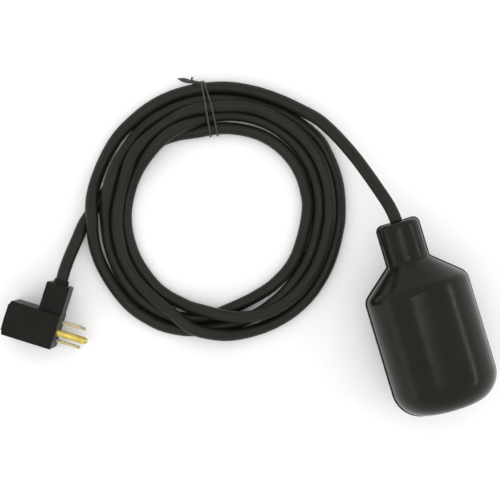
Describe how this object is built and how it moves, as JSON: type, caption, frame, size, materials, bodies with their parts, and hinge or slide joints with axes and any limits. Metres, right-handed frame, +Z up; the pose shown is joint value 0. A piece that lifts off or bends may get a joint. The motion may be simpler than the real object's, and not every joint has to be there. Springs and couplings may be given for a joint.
{
  "type": "float switch",
  "caption": "Bottle-shaped tethered float switch with a coiled round cord and a right-angle piggyback plug with flat blades and a round ground pin.",
  "frame": {"origin": "on the ground, below the middle of the float, which lies on its side", "axes": "+Z up; +Y along the float's axis from its flat bottom to its neck; the coil and the plug lie on the -X side"},
  "size_m": [0.2977, 0.2617, 0.067],
  "materials": {
    "shell_black": "satin moulded black with a faint mould texture",
    "cord_black": "smooth black thermoplastic rubber jacket",
    "gland_rubber": "soft matt rubber",
    "resin": "cast amber-brown resin",
    "wire_white": "soft white insulation",
    "wire_black": "soft black insulation",
    "natural_plastic": "natural moulded plastic",
    "tube_plastic": "smooth moulded plastic",
    "ball_steel": "polished steel",
    "spring_steel": "stamped steel strip",
    "screw_steel": "zinc-plated steel",
    "case_phenolic": "dark phenolic moulding",
    "cover_phenolic": "dark phenolic moulding",
    "button_red": "red moulded plastic",
    "contact_brass": "stamped brass",
    "contact_bronze": "phosphor-bronze strip",
    "tie_grey": "dull plastic-covered wire",
    "plug_black": "satin black moulded vinyl",
    "insert_black": "hard black plastic",
    "blade_brass": "rolled brass blade",
    "pin_brass": "bright drawn brass"
  },
  "bodies": {
    "root": {"float_shell_upper": "shell_black", "float_shell_lower": "shell_black", "neck_gland": "gland_rubber", "cord_end": "cord_black", "cord_ferrule": "spring_steel", "neck_potting": "resin", "wire_common": "wire_white", "wire_open": "wire_black", "wire_receptacles": "contact_brass", "switch_carrier": "natural_plastic", "rear_support": "natural_plastic", "ball_tube": "tube_plastic", "tube_cap": "natural_plastic", "switch_base": "case_phenolic", "switch_cover": "cover_phenolic", "lever_pin": "spring_steel", "common_terminal": "contact_brass", "open_terminal": "contact_brass", "closed_terminal": "contact_brass", "switch_screws": "screw_steel", "cord_float_side": "cord_black", "cord_coil": "cord_black", "cord_plug_side": "cord_black", "twist_tie": "tie_grey", "plug_body": "plug_black", "plug_collar": "plug_black", "receptacle_insert": "insert_black", "line_blade": "blade_brass", "neutral_blade": "blade_brass", "ground_pin": "pin_brass", "line_contact": "contact_bronze", "neutral_contact": "contact_bronze", "ground_contact": "contact_bronze", "feed_wire": "wire_black", "return_wire": "wire_white"},
    "ball": {"steel_ball": "ball_steel"},
    "lever": {"actuator_lever": "spring_steel"},
    "plunger": {"switch_plunger": "button_red"},
    "blade": {"snap_blade": "contact_bronze"}
  },
  "joints": [
    {"name": "ball_roll", "type": "slide", "parent": "root", "child": "ball", "axis": [0, 1, 0], "range_m": [0, 0.0308]},
    {"name": "lever_hinge", "type": "hinge", "parent": "root", "child": "lever", "pos_m": [0, 0.0064, 0.0507], "axis": [1, 0, 0], "range_deg": [0, 7], "stiffness_Nm_per_rad": 0.05, "springref_deg": -2.86},
    {"name": "plunger_press", "type": "slide", "parent": "root", "child": "plunger", "axis": [0, 1, 0], "range_m": [0, 0.0013]},
    {"name": "blade_flex", "type": "hinge", "parent": "root", "child": "blade", "pos_m": [0, 0.01215, 0.0315], "axis": [-1, 0, 0], "range_deg": [0, 8.2]}
  ],
  "couplings": [
    {"joint": "plunger_press", "follows": "lever_hinge", "m_per_rad": 0.0103},
    {"joint": "blade_flex", "follows": "lever_hinge", "ratio": 1.1573}
  ]
}
